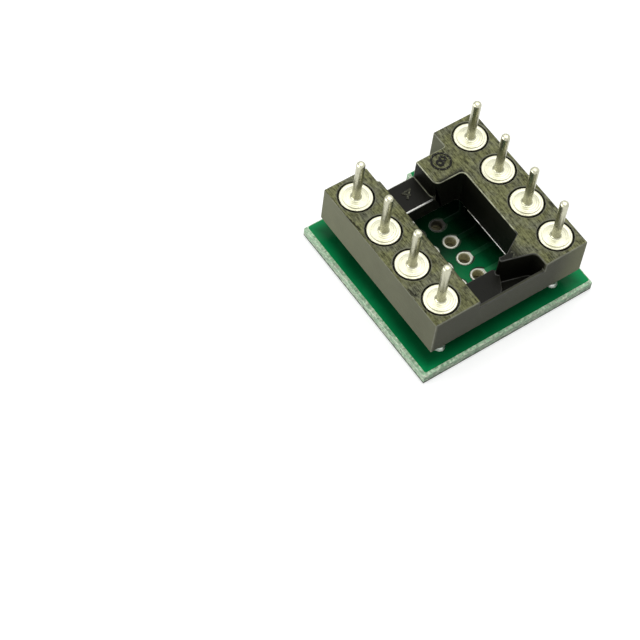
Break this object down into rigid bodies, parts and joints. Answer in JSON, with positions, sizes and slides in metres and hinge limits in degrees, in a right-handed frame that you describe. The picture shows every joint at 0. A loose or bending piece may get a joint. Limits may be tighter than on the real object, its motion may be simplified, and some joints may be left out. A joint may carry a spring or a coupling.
{
  "type": "ic socket adapter",
  "caption": "Small square circuit board carrying a moulded socket frame with two rows of turned pins, with contact fingers and plated holes on the board.",
  "frame": {"origin": "centre of the board's lower face, which is the face with the contact fingers", "axes": "+Z from the board towards the pins' tips, X across the two pin rows, +Y towards the notched end of the board"},
  "size_m": [0.0114, 0.0112, 0.0074],
  "materials": {
    "board_mask": "green coating over glass-fibre board, pale cut edges",
    "frame_plastic": "matt black moulding with a speckled grain",
    "pin_metal": "turned, dull tin finish",
    "solder": "bright solder",
    "foil": "pale gold plating",
    "via_plating": "pale plating"
  },
  "bodies": {
    "root": {"board": "board_mask", "socket_frame": "frame_plastic", "pin_1": "pin_metal", "pin_2": "pin_metal", "pin_3": "pin_metal", "pin_4": "pin_metal", "pin_5": "pin_metal", "pin_6": "pin_metal", "pin_7": "pin_metal", "pin_8": "pin_metal", "solder_1": "solder", "solder_2": "solder", "solder_3": "solder", "solder_4": "solder", "solder_5": "solder", "solder_6": "solder", "solder_7": "solder", "solder_8": "solder", "land_1": "foil", "land_2": "foil", "land_3": "foil", "land_4": "foil", "land_5": "foil", "land_6": "foil", "land_7": "foil", "land_8": "foil", "via_1": "via_plating", "via_2": "via_plating", "via_3": "via_plating", "via_4": "via_plating", "via_5": "via_plating", "via_6": "via_plating", "via_7": "via_plating", "via_8": "via_plating", "finger_1": "foil", "finger_2": "foil", "finger_3": "foil", "finger_4": "foil", "finger_5": "foil", "finger_6": "foil", "finger_7": "foil", "finger_8": "foil"}
  },
  "joints": []
}
